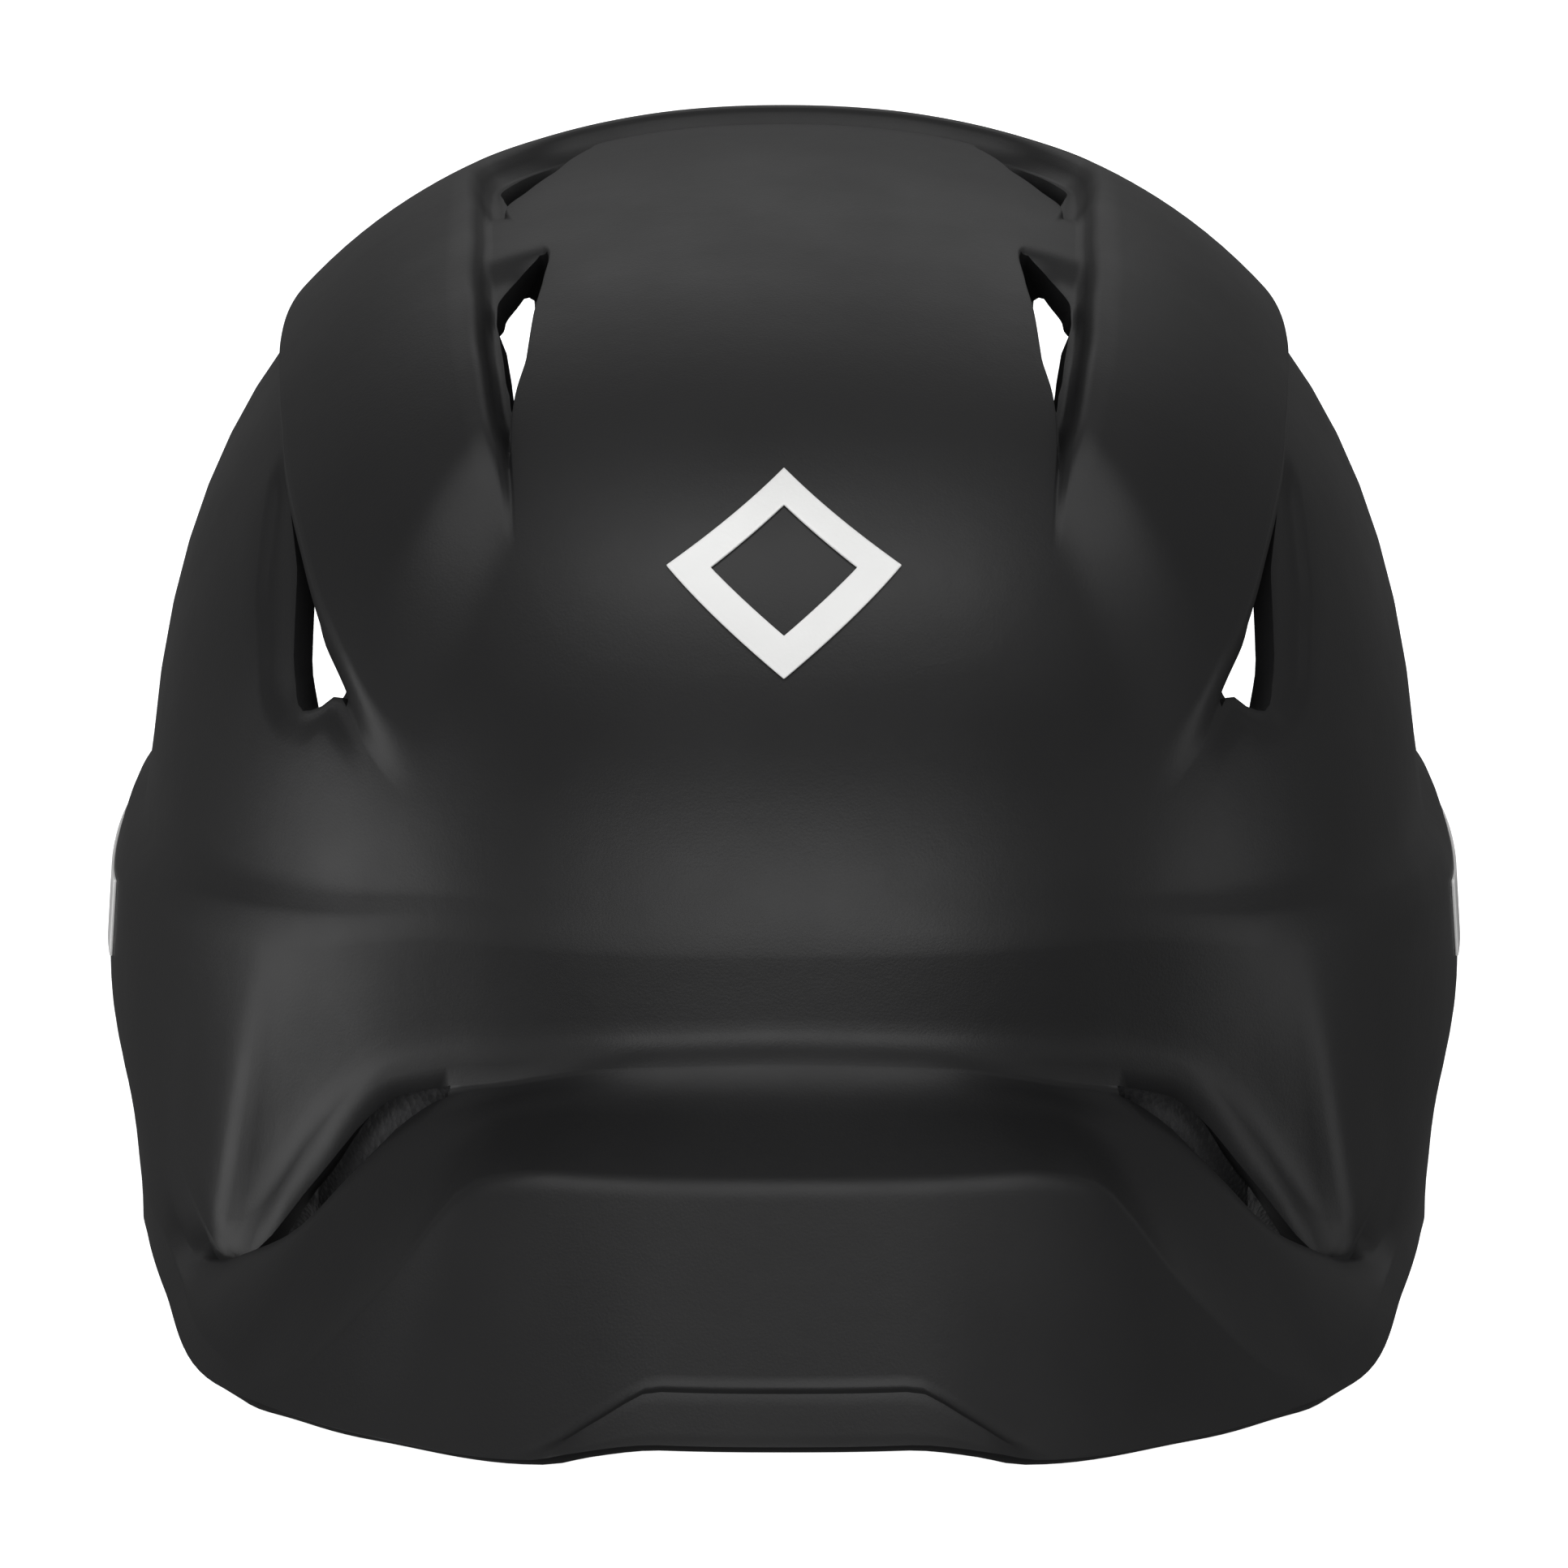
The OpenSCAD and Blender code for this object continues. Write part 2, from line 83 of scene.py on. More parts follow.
# The crown's axis stands this far behind the brim's front edge, and the ear holes' centre
# this far below the crown
BRIM_TO_AXIS, CROWN_TO_EAR = 163.0 * MM, 142.0 * MM
AXIS_Y = shell_low.y + BRIM_TO_AXIS
EAR_Z = shell_high.z - CROWN_TO_EAR
target = Vector((0, AXIS_Y, EAR_Z + 46 * MM))
camera = make_camera(target, 28.0, 1.2, 174.4)
print("camera looks at, mm:", [round(c / MM, 1) for c in target])

# %% [markdown]
# ## The floor and the studio light
# A matt pale floor, bright by itself, runs up into a backdrop behind the helmet in one
# soft curve, so no horizon shows. Large soft lights stand round it: one above, one in
# front, a weak one behind, and one low at each side, of which the one at -X is stronger.
# Large lights give a satin surface its long, soft highlights.

# %% Floor and backdrop
def plain_paint(name, colour, roughness):
    material = bpy.data.materials.new(name)
    material.use_nodes = True
    shader = material.node_tree.nodes["Principled BSDF"]
    shader.inputs["Base Color"].default_value = (*colour, 1)
    shader.inputs["Roughness"].default_value = roughness
    return material


SWEEP_STEPS = 12


def make_floor(half, sweep_start, sweep_radius):
    """A floor that curves up behind the helmet: one line extruded along x."""
    bm = bmesh.new()
    line = [bm.verts.new((-half, -half, 0)), bm.verts.new((-half, sweep_start, 0))]
    for k in range(1, SWEEP_STEPS + 1):
        turn = math.pi / 2 * k / SWEEP_STEPS
        line.append(bm.verts.new((-half, sweep_start + sweep_radius * math.sin(turn),
                                  sweep_radius * (1 - math.cos(turn)))))
    line.append(bm.verts.new((-half, sweep_start + sweep_radius, half)))
    edges = [bm.edges.new(pair) for pair in zip(line, line[1:])]
    moved = bmesh.ops.extrude_edge_only(bm, edges=edges)["geom"]
    bmesh.ops.translate(bm, vec=(2 * half, 0, 0),
                        verts=[v for v in moved if isinstance(v, bmesh.types.BMVert)])
    bmesh.ops.recalc_face_normals(bm, faces=bm.faces)
    return add_piece("floor", bm)


def add_piece(name, bm, smooth=True):
    mesh = bpy.data.meshes.new(name)
    bm.to_mesh(mesh)
    bm.free()
    for polygon in mesh.polygons:
        polygon.use_smooth = smooth
    piece = bpy.data.objects.new(name, mesh)
    bpy.context.scene.collection.objects.link(piece)
    return piece


floor = make_floor(3.0, 1.2, 0.8)
floor_paint = plain_paint("floor_paint", (0.9, 0.9, 0.9), 0.9)
floor_shader = floor_paint.node_tree.nodes["Principled BSDF"]
floor_shader.inputs["Emission Color"].default_value = (1, 1, 1, 1)
floor_shader.inputs["Emission Strength"].default_value = 0.9
floor.data.materials.append(floor_paint)
# The floor neither lights the helmet nor shades it, so the low side lights reach it
floor.visible_diffuse = False
floor.visible_glossy = False
floor.visible_shadow = False
print("floor:", len(floor.data.polygons), "faces")

# %% Lights
def soft_light(name, place, aim, size, watts):
    data = bpy.data.lights.new(name, "AREA")
    data.shape = "RECTANGLE"
    data.size, data.size_y = size
    data.energy = watts
    light = bpy.data.objects.new(name, data)
    light.location = place
    light.rotation_euler = (Vector(aim) - Vector(place)).to_track_quat("-Z", "Y").to_euler()
    bpy.context.scene.collection.objects.link(light)
    return light


centre = (0, AXIS_Y, 0.1)
soft_light("light_top", (0, -0.35, 1.9), centre, (2.0, 1.0), 15)
soft_light("light_front", (0, -2.2, 0.5), centre, (2.2, 0.7), 22)
soft_light("light_back", (0, 1.7, 1.1), centre, (2.0, 0.8), 4)
soft_light("light_left", (-1.4, -0.3, -0.1), centre, (0.9, 0.9), 7)
soft_light("light_right", (1.4, -0.3, -0.1), centre, (0.6, 0.8), 2)


# Where the horizon stands on a scale from straight down, 0, to straight up, 1
HORIZON_PLACE = 0.52


def studio_world(zenith, horizon, below):
    """A dim room that is nearly dark below the horizon."""
    world = bpy.data.worlds.new("studio")
    bpy.context.scene.world = world
    world.use_nodes = True
    tree = world.node_tree
    background = tree.nodes["Background"]
    background.inputs["Color"].default_value = (1, 1, 1, 1)
    places = tree.nodes.new("ShaderNodeTexCoord")
    parts = tree.nodes.new("ShaderNodeSeparateXYZ")
    tree.links.new(places.outputs["Generated"], parts.inputs["Vector"])
    ramp = tree.nodes.new("ShaderNodeValToRGB")
    ramp.color_ramp.elements[0].position = 0.0
    ramp.color_ramp.elements[0].color = (below, below, below, 1)
    ramp.color_ramp.elements[1].position = 1.0
    ramp.color_ramp.elements[1].color = (zenith, zenith, zenith, 1)
    level = ramp.color_ramp.elements.new(HORIZON_PLACE)
    level.color = (horizon, horizon, horizon, 1)
    half = tree.nodes.new("ShaderNodeMapRange")
    half.inputs["From Min"].default_value = -1.0
    tree.links.new(parts.outputs["Z"], half.inputs["Value"])
    tree.links.new(half.outputs["Result"], ramp.inputs["Fac"])
    tree.links.new(ramp.outputs["Color"], background.inputs["Color"])
    return world


studio_world(0.25, 0.2, 0.02)
bpy.context.scene.view_settings.view_transform = "Standard"

# %% [markdown]
# ## The form of the shell
# A helmet's shell is drawn round a dome. Here its plan and its side view are rounded
# squares, and five lines run round it: the crown, the brow line, the brim's root, the
# brim's ridge and the lower edge. Between the lines the skin runs straight, with a soft
# rounding where it turns. A place on the shell is then two numbers: the azimuth from the
# front, and t, which is 0 at the crown, 1 at the brow line and 4 at the lower edge. The
# heights are millimetres above the ear holes' centre.

# %% Sizes and lines of the form
HALF_WIDTH, FRONT_LENGTH, REAR_LENGTH = 100.0, 113.0, 115.0
DOME_HEIGHT, DOME_LEVEL = 115.0, 27.0
FLAP_DROP, FLAP_TUCK, FOOT_TRIM = 58.0, 12.0, 1.5
PLAN_POWER, DOME_POWER = 2.2, 2.6
PANEL_RAISE, CHANNEL_DEPTH, WALL = 3.5, 2.0, 3.5
# How far along t the roundings at the brow, root and ridge start before them and end after
ROUND_START, ROUND_END = (0.02, 0.35, 0.07), (0.06, 0.35, 0.06)

# Each line's height (Z) and how far it stands out of the dome's plan (OUT), by azimuth
BROW_Z = [(0, 76), (24, 74), (40, 66), (56, 56.5), (72, 46), (85, 39), (100, 35),
          (115, 28), (130, 20), (150, 15), (180, 14)]
BROW_OUT = [(0, 0), (24, 0.5), (40, 2), (56, 3.5), (72, 5), (90, 5.5), (110, 4.5),
            (130, 1.5), (150, 0), (180, 0)]
ROOT_Z = [(0, 59), (12, 57), (20, 53), (27, 48), (33, 41), (38, 29), (42, 17), (45, 12.5),
          (49, 12.5), (54, 16), (62, 20), (75, 19), (90, 18), (110, 14), (130, 8),
          (150, 5), (180, 3)]
ROOT_OUT = [(0, -2), (25, -1), (33, 1), (38, 3.5), (42, 8), (45, 12), (49, 10.5), (54, 8),
            (62, 7), (80, 7.2), (100, 6.5), (120, 4), (140, 0.5), (180, 0)]
RIDGE_Z = [(0, 54), (14, 53), (19, 50), (24, 33), (28, 21), (32, 16.5), (38, 14),
           (44, 12), (50, 10), (56, 8), (65, 6), (78, 4), (90, 3), (110, 0), (130, -4),
           (180, -7)]
RIDGE_OUT = [(0, 23), (14, 23), (19, 24), (24, 32), (28, 38.5), (32, 36), (38, 29),
             (44, 20), (50, 14), (56, 10.5), (65, 6.5), (75, 3), (90, 1.8), (115, 0.8),
             (140, 0), (180, 0)]
EDGE_Z = [(0, 27), (6, 27), (13, 23), (22, 20), (29, 16.5), (36, 11.5), (45, 9), (55, 4), (62, -1),
          (67, -13), (72, -0.62 * FLAP_DROP), (77, -0.9 * FLAP_DROP),
          (82, -FLAP_DROP - FOOT_TRIM), (103, -FLAP_DROP - FOOT_TRIM),
          (109, -0.86 * FLAP_DROP), (117, -40), (127, -29), (145, -21), (180, -17)]
EDGE_OUT = [(0, 50), (12, 50.5), (22, 47), (29, 42), (36, 34.5), (45, 21.5), (55, 12),
            (62, 7.5), (70, 0), (80, 2 - FLAP_TUCK), (90, -FLAP_TUCK), (100, -FLAP_TUCK),
            (112, -8), (125, -6), (145, -3), (180, -1)]
# Lines over the dome, as a share of the plan's radius
CENTRE_LINE = [(0, 0.8), (18, 0.795), (28, 0.72), (34, 0.638), (44, 0.525), (49, 0.472),
               (60, 0.415), (72, 0.377), (85, 0.36), (95, 0.37), (108, 0.43), (117, 0.462),
               (124, 0.453), (133, 0.455), (142, 0.485), (148, 0.515), (153, 0.56),
               (165, 0.545), (180, 0.53)]
INNER_LINE = [(0, 0.86), (18, 0.85), (28, 0.745), (33, 0.665), (38, 0.61), (54, 0.517),
              (73, 0.472), (92, 0.465), (110, 0.486), (125, 0.545), (139, 0.625),
              (147, 0.635), (156, 0.62), (168, 0.6), (180, 0.595)]
OUTER_LINE = [(0, 0.89), (24, 0.89), (33, 0.885), (37, 0.873), (41, 0.853), (44, 0.839),
              (47, 0.826), (51, 0.808), (56, 0.788), (62, 0.771), (69, 0.756), (74, 0.748),
              (82, 0.745), (97, 0.755), (106, 0.766), (125, 0.8), (145, 0.84),
              (165, 0.865), (180, 0.87)]


# %% The form's functions
def clamp01(x):
    return min(1.0, max(0.0, x))


def ease(a, b, x):
    u = clamp01((x - a) / (b - a))
    return u * u * (3 - 2 * u)


def along(line, x):
    """A smooth curve through the stations of a line."""
    last = len(line) - 1
    i = 0
    while i < last - 1 and x > line[i + 1][0]:
        i += 1

    def rise(k):
        return (line[k + 1][1] - line[k][1]) / (line[k + 1][0] - line[k][0])

    def slope(k):
        if k in (0, last):
            return 0
        before, after = rise(k - 1), rise(k)
        return 0 if before * after <= 0 else 2 * before * after / (before + after)

    h = line[i + 1][0] - line[i][0]
    t = clamp01((x - line[i][0]) / h)
    return ((2 * t ** 3 - 3 * t ** 2 + 1) * line[i][1]
            + (t ** 3 - 2 * t ** 2 + t) * h * slope(i)
            + (3 * t ** 2 - 2 * t ** 3) * line[i + 1][1]
            + (t ** 3 - t ** 2) * h * slope(i + 1))


def plan_radius(azimuth):
    a = math.radians(azimuth)
    reach = FRONT_LENGTH if math.cos(a) > 0 else REAR_LENGTH
    return ((abs(math.sin(a)) / HALF_WIDTH) ** PLAN_POWER
            + (abs(math.cos(a)) / reach) ** PLAN_POWER) ** (-1 / PLAN_POWER)


def dome_point(radius, tilt):
    return (radius * max(0, math.sin(tilt)) ** (2 / DOME_POWER),
            DOME_LEVEL + DOME_HEIGHT * max(0, math.cos(tilt)) ** (2 / DOME_POWER))


def key_points(azimuth, made={}):
    """The profile's four inner and outer turns, the plan's radius and the brow's tilt."""
    azimuth = round(abs(azimuth), 4)
    if azimuth not in made:
        radius = plan_radius(azimuth)
        level = clamp01((along(BROW_Z, azimuth) - DOME_LEVEL) / DOME_HEIGHT)
        tilt = math.acos(level ** (DOME_POWER / 2))
        brow = dome_point(radius, tilt)
        made[azimuth] = (
            (brow[0] + along(BROW_OUT, azimuth), brow[1]),
            (radius + along(ROOT_OUT, azimuth), along(ROOT_Z, azimuth)),
            (radius + along(RIDGE_OUT, azimuth), along(RIDGE_Z, azimuth)),
            (radius + along(EDGE_OUT, azimuth), along(EDGE_Z, azimuth)), radius, tilt)
    return made[azimuth]


def sharp_profile(keys, t):
    if t < 1:
        r, z = dome_point(keys[4], keys[5] * t)
        return r + (keys[0][0] - dome_point(keys[4], keys[5])[0]) * ease(0.955, 0.995, t), z
    i = min(2, int(t - 1))
    u = t - 1 - i
    return tuple(keys[i][n] + (keys[i + 1][n] - keys[i][n]) * u for n in (0, 1))


def profile(keys, t):
    i = round(t)
    if i < 1 or i > 3 or t < i - ROUND_START[i - 1] or t > i + ROUND_END[i - 1]:
        return sharp_profile(keys, t)
    a, b = sharp_profile(keys, i - ROUND_START[i - 1]), keys[i - 1]
    c = sharp_profile(keys, i + ROUND_END[i - 1])
    u = (t - i + ROUND_START[i - 1]) / (ROUND_START[i - 1] + ROUND_END[i - 1])
    return tuple((1 - u) ** 2 * a[n] + 2 * u * (1 - u) * b[n] + u * u * c[n]
                 for n in (0, 1))


def skin(azimuth, t):
    """The shell's outside at a place, in metres, before its panels are raised."""
    r, z = profile(key_points(azimuth), t)
    a = math.radians(azimuth)
    return Vector((r * math.sin(a) * MM, AXIS_Y - r * math.cos(a) * MM, EAR_Z + z * MM))


def outward(azimuth, t):
    t = min(3.98, max(0.04, t))
    across = skin(azimuth + 0.5, t) - skin(azimuth - 0.5, t)
    down = skin(azimuth, min(4, t + 0.02)) - skin(azimuth, t - 0.02)
    return down.cross(across).normalized()


def t_at(azimuth, share):
    """Where on the dome a share of the plan's radius lies."""
    return math.asin(min(1, share) ** (DOME_POWER / 2)) / key_points(azimuth)[5]


print("brow front, mm:", [round(c / MM, 1) for c in skin(0, 1)])

# %% [markdown]
# ## Panels, channels and vents
# The shell isn't a smooth dome. A centre panel runs over the crown, with a sunken channel
# down each side of it. Outside the channels, a raised panel runs over both shoulders and
# joins behind the crown. The vents lie in the channels and under the raised panel's
# overhanging outer edge, where rain and balls don't get in.
#
# A sharp step on a mesh is only clean if the mesh has rows of edges along it. So the shell
# starts as a plain grid, and its rows are moved to follow the lines. Where a vent opens,
# the rows on its two sides part, and the faces between them are deleted.

# %% Lines that the mesh follows
# How far each line lies outside the one before it, as a share of the plan's radius
TOP_VENT_GAP = [(0, 0.008), (42, 0.008), (46, 0.024), (49, 0.04), (55, 0.05), (62, 0.061),
                (68, 0.072), (74, 0.075), (79, 0.062), (83, 0.044), (89, 0.008),
                (117, 0.008), (121, 0.024), (127, 0.064), (135, 0.115), (142, 0.115),
                (147, 0.095), (151, 0.045), (154, 0.008), (180, 0.008)]
LIP = 0.026
SIDE_VENT_GAP = [(0, 0.006), (40, 0.006), (43, 0.008), (45, 0.03), (47, 0.046),
                 (49, 0.05), (51, 0.046), (53, 0.036), (55, 0.026), (58, 0.014),
                 (64, 0.008), (70, 0.006), (180, 0.006)]
POCKET_GAP = [(0, 0.004), (37, 0.004), (40, 0.01), (43, 0.014), (47, 0.01), (50, 0.02),
              (54, 0.042), (59, 0.045), (64, 0.031), (71, 0.013), (76, 0.004), (180, 0.004)]
# The front tab's upper edge, and the slots beside the brim's raised middle
TAB_T = [(0, 3.8), (6.6, 3.8), (9, 3.88), (12, 3.97), (180, 3.97)]
SLOT_TOP_T = [(0, 1.98), (20, 1.97), (24, 1.945), (26, 1.93), (30.5, 1.92), (33, 1.97),
              (35.5, 2.06), (38, 2.15), (40, 2.27), (42, 2.3), (46, 2.1), (52, 1.98),
              (180, 1.98)]
SLOT_FOOT_T = [(0, 2.02), (20, 2.01), (24, 1.97), (26, 1.97), (29.5, 2.05), (32, 2.2),
               (33.5, 2.34), (36, 2.41), (38.5, 2.42), (40, 2.4), (42, 2.36), (46, 2.14),
               (52, 2.02), (180, 2.02)]


def line_ts(azimuth):
    """The rows' key places down one column, as (t, steps from the row before)."""
    centre = along(CENTRE_LINE, azimuth)
    inner, outer = along(INNER_LINE, azimuth), along(OUTER_LINE, azimuth)
    vent = centre + along(TOP_VENT_GAP, azimuth)
    foot = outer + LIP
    side = foot + along(SIDE_VENT_GAP, azimuth)
    pocket = side + along(POCKET_GAP, azimuth)
    shares = [(centre - 0.006, 20), (centre, 2), (vent, 3),
              (max(vent + 0.003, inner - 0.022), 2), (max(vent + 0.006, inner - 0.008), 2),
              (max(vent + 0.01, inner + 0.002), 2), (max(vent + 0.014, inner + 0.01), 1),
              (outer - 0.012, 11), (outer, 2), (foot, 3), (side, 2), (pocket, 4),
              (pocket + 0.012, 2)]
    places = [(t_at(azimuth, share), steps) for share, steps in shares]
    brow = max(0.965, places[-1][0] + 0.004)
    return places + [(brow, 8), (1.06, 7), (along(SLOT_TOP_T, azimuth), 9),
                     (along(SLOT_FOOT_T, azimuth), 3), (2.92, 7), (3.07, 7),
                     (along(TAB_T, azimuth) - 0.035, 16), (along(TAB_T, azimuth), 2),
                     (4, 4)]


# Names for the rows that the vents lie between
row_steps = [steps for _, steps in line_ts(90)]
row_at = [sum(row_steps[:k + 1]) for k in range(len(row_steps))]
CENTRE_ROW, VENT_ROW, FOOT_ROW, SIDE_ROW = row_at[1], row_at[2], row_at[9], row_at[10]
SLOT_TOP_ROW, SLOT_FOOT_ROW = row_at[15], row_at[16]
ROWS = row_at[-1]


def column_azimuths():
    """Columns from the front, 0, to the back, 180, closest together at the vents."""
    places = [0.0]
    while places[-1] < 180:
        a = places[-1]
        places.append(a + (0.9 if a < 16 else 1.0 if a < 96 else 1.3 if a < 160 else 1.7))
    return [a * 180 / places[-1] for a in places]


COLUMNS = column_azimuths()
print("grid:", len(COLUMNS), "columns and", ROWS + 1, "rows")


# %% Heights of the panels
# The panels and channels fade out over the forehead between these azimuths
PANEL_FADE = (30, 42)
POCKET_DEPTH, TAB_RAISE, GROOVE_DEPTH = 1.5, 1.4, 2.0


def panel_height(azimuth, t):
    """How far a place on the dome stands above or below the plain form, in mm."""
    if t >= 1:
        return 0.0
    share = math.sin(key_points(azimuth)[5] * t) ** (2 / DOME_POWER)
    centre = along(CENTRE_LINE, azimuth)
    inner, outer = along(INNER_LINE, azimuth), along(OUTER_LINE, azimuth)
    foot = outer + LIP
    pocket = foot + along(SIDE_VENT_GAP, azimuth) + along(POCKET_GAP, azimuth)
    # The channel is deep at the vents and rises to the centre panel's level between them
    deep = ease(0, 1, 1 - ease(78, 94, azimuth) * (1 - ease(106, 120, azimuth)))
    channel = (ease(-0.004, 0.006, share - centre) * (1 - ease(-0.02, -0.004, share - inner))
               * deep)
    raised = ease(-0.016, 0.008, share - inner) * (1 - clamp01((share - outer) / LIP))
    in_pocket = (ease(0.004, 0.02, along(POCKET_GAP, azimuth))
                 * ease(-0.006, 0.004, share - foot) * (1 - ease(-0.006, 0.01, share - pocket)))
    fade = ease(*PANEL_FADE, azimuth)
    return fade * (PANEL_RAISE * raised - CHANNEL_DEPTH * channel) - POCKET_DEPTH * in_pocket


def brim_height(azimuth, t):
    """The raised tab at the brim's front edge and the grooves beside its raised middle."""
    tab = ease(-0.03, 0.005, t - along(TAB_T, azimuth)) * (1 - ease(10.5, 12.5, azimuth))
    top, foot = along(SLOT_TOP_T, azimuth), along(SLOT_FOOT_T, azimuth)
    off = max(top - t, t - foot, 0.0)
    groove = (1 - ease(0.0, 0.1, off)) * ease(9, 24, azimuth) * (1 - ease(40, 54, azimuth))
    return TAB_RAISE * tab - GROOVE_DEPTH * groove


# %% The shell's grid
def shell_grid():
    bm = bmesh.new()
    bmesh.ops.create_grid(bm, x_segments=len(COLUMNS) - 1, y_segments=ROWS, size=0.5)
    bm.verts.ensure_lookup_table()
    columns, rows = len(COLUMNS), ROWS + 1
    base = np.zeros((rows, columns, 3))
    place = {}
    for j, azimuth in enumerate(COLUMNS):
        t_before, i = 0.0, 0
        for t_next, steps in line_ts(azimuth):
            for k in range(steps):
                place[i, j] = t_before + (t_next - t_before) * k / steps
                i += 1
            t_before = t_next
        place[i, j] = 4.0
        for i in range(rows):
            base[i, j] = skin(azimuth, place[i, j])
    across, down = np.gradient(base, axis=1), np.gradient(base, axis=0)
    normal = np.cross(down, across)
    normal[0] = (0, 0, 1)
    normal /= np.maximum(1e-12, np.linalg.norm(normal, axis=2, keepdims=True))
    normal[:, 0, 0] = normal[:, -1, 0] = 0
    for vert in bm.verts:
        j = round((vert.co.x + 0.5) * (columns - 1))
        i = round((vert.co.y + 0.5) * (rows - 1))
        azimuth, t = COLUMNS[j], place[i, j]
        lift = (panel_height(azimuth, t) + brim_height(azimuth, t)) * MM
        vert.co = Vector(base[i, j]) + Vector(normal[i, j]) * lift
        vert.index = i * columns + j
    bmesh.ops.reverse_faces(bm, faces=bm.faces)
    return bm


shell_mesh = shell_grid()
print("half of the shell:", len(shell_mesh.faces), "faces")

# %% Open the vents
def face_place(face):
    """The lowest row and column of a grid face, from its corners' numbers."""
    corners = [divmod(v.index, len(COLUMNS)) for v in face.verts]
    return min(c[0] for c in corners), min(c[1] for c in corners)


def between(face, rows, azimuths):
    i, j = face_place(face)
    return (rows[0] <= i < rows[1]
            and azimuths[0] <= COLUMNS[j] and COLUMNS[j + 1] <= azimuths[1])


TOP_VENTS = [(43.2, 88), (118, 154)]
SIDE_VENT = (41.5, 70)
BRIM_SLOT = (25, 41)
opened = [face for face in shell_mesh.faces
          if any(between(face, (CENTRE_ROW, VENT_ROW), vent) for vent in TOP_VENTS)
          or between(face, (FOOT_ROW, SIDE_ROW), SIDE_VENT)
          or between(face, (SLOT_TOP_ROW, SLOT_FOOT_ROW), BRIM_SLOT)]
bmesh.ops.delete(shell_mesh, geom=opened, context="FACES")
print("opened", len(opened), "faces")


# %% [markdown]
# The ear hole, the screw holes and the two slots at the back don't run along the rows. For
# these the faces inside the outline are deleted, and the vertices round the gap are then
# moved onto the outline, so the hole is as round as a drilled one.

# %% Holes that don't follow the rows
EAR_HOLE_D, INSERT_HOLE_D = 37.0, 8.4
# Each rear slot's azimuths and ts from end to end, and its width
REAR_SLOTS = [((154, 156), (0.73, 0.84), 11), ((132.5, 136), (0.94, 1.2), 12)]


def cut_outline(bm, a, b, radius, axis):
    """Opens a hole round the line a to b, seen along axis."""
    axis = axis.normalized()

    def offset(p):
        span = b - a
        u = clamp01((p - a).dot(span) / span.length_squared) if span.length > 1e-6 else 0
        d = p - (a + span * u)
        return d - axis * d.dot(axis)

    def near(p):
        return (p - (a + b) / 2).length < (b - a).length / 2 + radius + 30 * MM

    inside = [f for f in bm.faces
              if near(f.calc_center_median()) and f.normal.dot(axis) > 0.2
              and offset(f.calc_center_median()).length < radius]
    touched = {v for f in inside for v in f.verts}
    bmesh.ops.delete(bm, geom=inside, context="FACES")
    rim = [v for v in touched if v.is_valid and v.is_boundary]
    for vert in rim:
        d = offset(vert.co)
        move = d.normalized() * (radius - d.length)
        n = vert.normal
        vert.co += move - axis * (move.dot(n) / n.dot(axis))
    return rim


shell_mesh.normal_update()
record = frame["record"]
ear_middle = Vector((HALF_WIDTH * MM, AXIS_Y, EAR_Z))
rims = cut_outline(shell_mesh, ear_middle, ear_middle, EAR_HOLE_D / 2 * MM, Vector((1, 0, 0)))
for azimuths, ts, width in REAR_SLOTS:
    middle = (sum(azimuths) / 2, sum(ts) / 2)
    rims += cut_outline(shell_mesh, skin(azimuths[0], ts[0]), skin(azimuths[1], ts[1]),
                        width / 2 * MM, outward(*middle))
for mount in record["mounts"]:
    if mount["name"].startswith("jaw_guard") and mount["pos_m"][0] > 0:
        spot = Vector(mount["pos_m"])
        rims += cut_outline(shell_mesh, spot, spot, INSERT_HOLE_D / 2 * MM,
                            Vector(mount["axis"]))
print("rim vertices:", len(rims))

# %% Mirror, thicken and soften the edges
# The flaps' feet are trimmed flat where the helmet stands on them, and vertices closer
# together than this become one
WELD = 0.02 * MM


def all_parts(bm):
    return bm.verts[:] + bm.edges[:] + bm.faces[:]


bmesh.ops.bisect_plane(shell_mesh, geom=all_parts(shell_mesh), plane_co=(0, 0, shell_low.z),
                       plane_no=(0, 0, -1), clear_outer=True)
bmesh.ops.remove_doubles(shell_mesh, verts=shell_mesh.verts, dist=WELD)
on_middle = [v for v in shell_mesh.verts if abs(v.co.x) < WELD]
for vert in on_middle:
    vert.co.x = 0
bmesh.ops.mirror(shell_mesh, geom=all_parts(shell_mesh), axis="X", merge_dist=WELD)
bmesh.ops.remove_doubles(shell_mesh, verts=shell_mesh.verts, dist=WELD)
bmesh.ops.recalc_face_normals(shell_mesh, faces=shell_mesh.faces)
shell = add_piece("helmet_shell", shell_mesh)
top_face = max(shell.data.polygons, key=lambda p: p.center.z)
if top_face.normal.z < 0:
    shell.data.flip_normals()
thicken = shell.modifiers.new("wall", "SOLIDIFY")
thicken.thickness = WALL * MM
thicken.offset = -1
thicken.use_even_offset = False
soften = shell.modifiers.new("soft_edges", "BEVEL")
soften.width = 0.6 * MM
soften.segments = 2
soften.limit_method = "ANGLE"
soften.angle_limit = math.radians(50)
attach(shell, "root")
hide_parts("shell")
print("shell skin:", len(shell.data.polygons), "faces")

# %% [markdown]
# ## The shell's finish
# The shell is moulded in black plastic and has a satin coat. Up close it has a very fine
# grain, and the gloss isn't the same everywhere, because hands and bags polish it. The
# grain is a bump and the uneven gloss is a slow noise on the roughness.

# %% Satin plastic
def node_material(name):
    material = bpy.data.materials.new(name)
    material.use_nodes = True
    tree = material.node_tree
    return material, tree, tree.nodes["Principled BSDF"]


